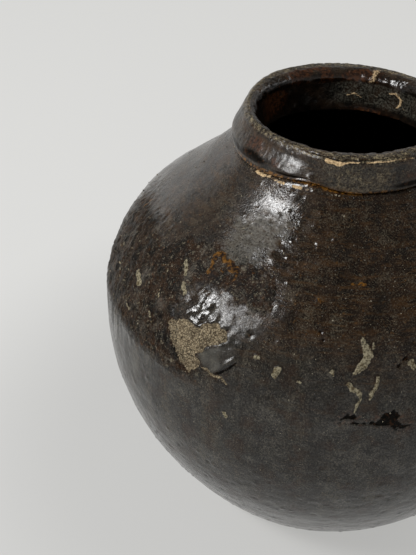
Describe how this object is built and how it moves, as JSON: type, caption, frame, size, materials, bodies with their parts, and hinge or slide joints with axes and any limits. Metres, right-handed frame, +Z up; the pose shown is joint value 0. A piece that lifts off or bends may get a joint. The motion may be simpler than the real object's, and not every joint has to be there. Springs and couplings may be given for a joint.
{
  "type": "onggi jar",
  "caption": "Round-shouldered dark glazed stoneware storage jar with a rolled rim, an open narrow mouth and a flat foot, built from luted clay courses.",
  "frame": {"origin": "centre of the flat foot, on the surface the jar stands on", "axes": "+Z up along the jar's axis through the mouth; -Y faces the front of the picture, with the kiln blister on the left of the front, 128 degrees clockwise from +X seen from above"},
  "size_m": [0.3607, 0.3608, 0.3264],
  "materials": {
    "iron_glaze": "dark brown to grey-black iron and ash glaze, glossy, pitted and speckled",
    "inner_glaze": "thin rust-brown glaze wash on the inside",
    "foot_clay": "bare fired stoneware, matt and gritty"
  },
  "bodies": {
    "root": {"foot_slab": "foot_clay", "foot_coil": "inner_glaze", "lower_course": "iron_glaze", "belly_course": "iron_glaze", "shoulder_course": "iron_glaze", "neck_course": "iron_glaze", "neck_ring": "inner_glaze", "rolled_rim": "iron_glaze"}
  },
  "joints": []
}
